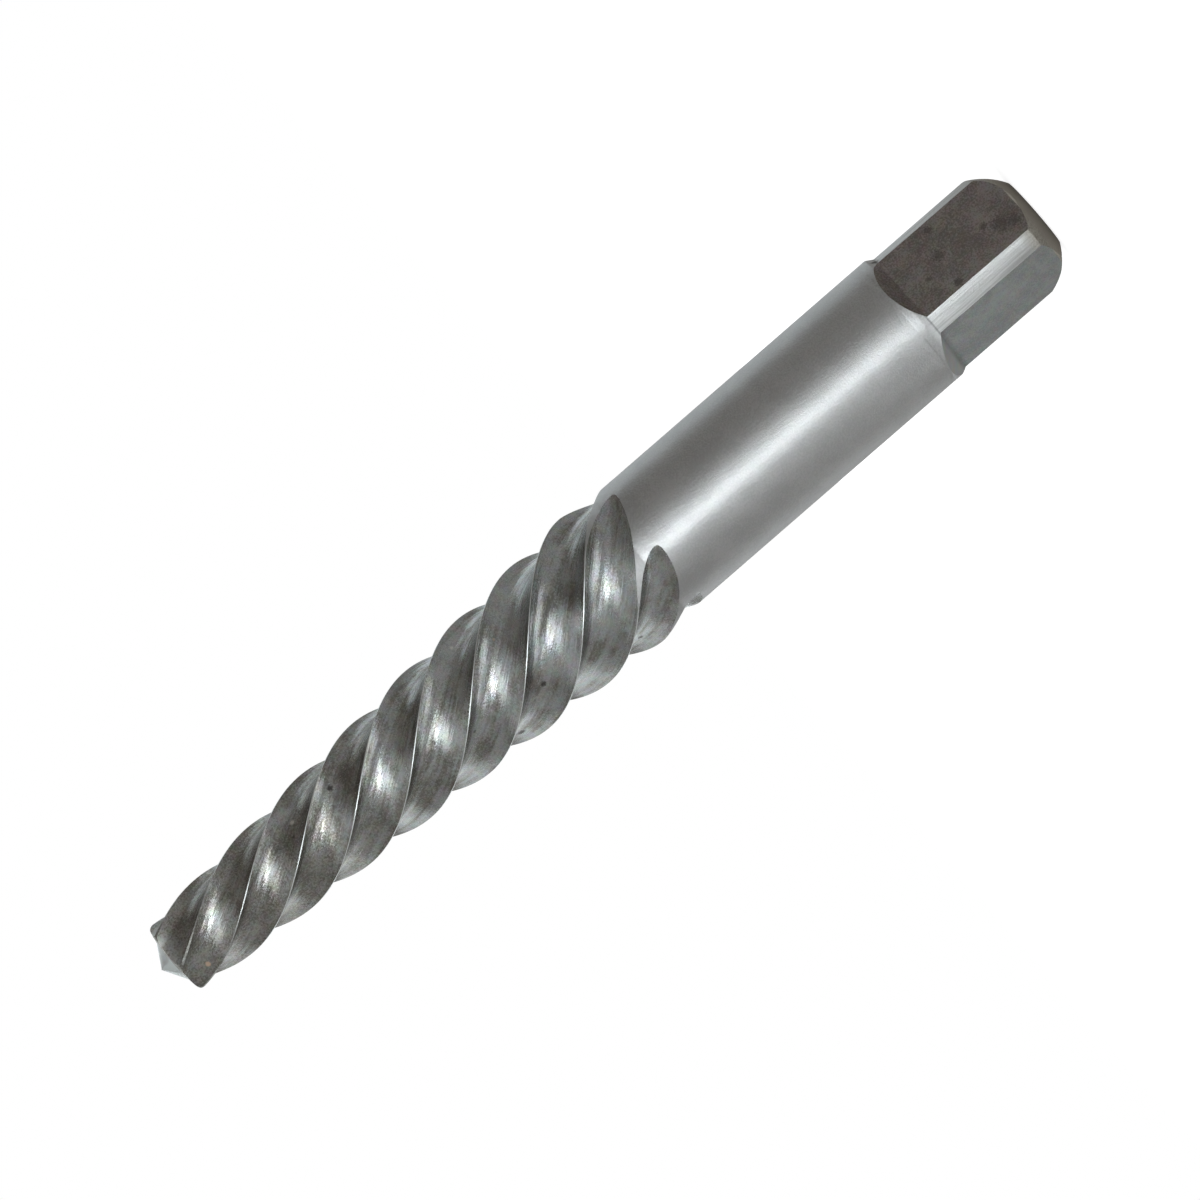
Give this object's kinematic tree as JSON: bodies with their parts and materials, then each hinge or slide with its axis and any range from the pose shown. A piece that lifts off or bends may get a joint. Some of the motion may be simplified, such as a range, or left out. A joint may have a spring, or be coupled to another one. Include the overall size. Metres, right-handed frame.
{
  "type": "spiral screw extractor",
  "caption": "Tapered spiral screw extractor with sharp left-hand flutes, a round shank and a square drive end.",
  "frame": {"origin": "centre of the drive end's flat face, which the extractor stands on", "axes": "+Z along the tool's axis from the drive end to the tip; +X and +Y square to two of the drive flats"},
  "size_m": [0.0104, 0.0106, 0.076],
  "materials": {
    "tool_steel": "ground steel, satin on the shank, darker and stained in the flutes"
  },
  "bodies": {
    "root": {"extractor": "tool_steel"}
  },
  "joints": []
}
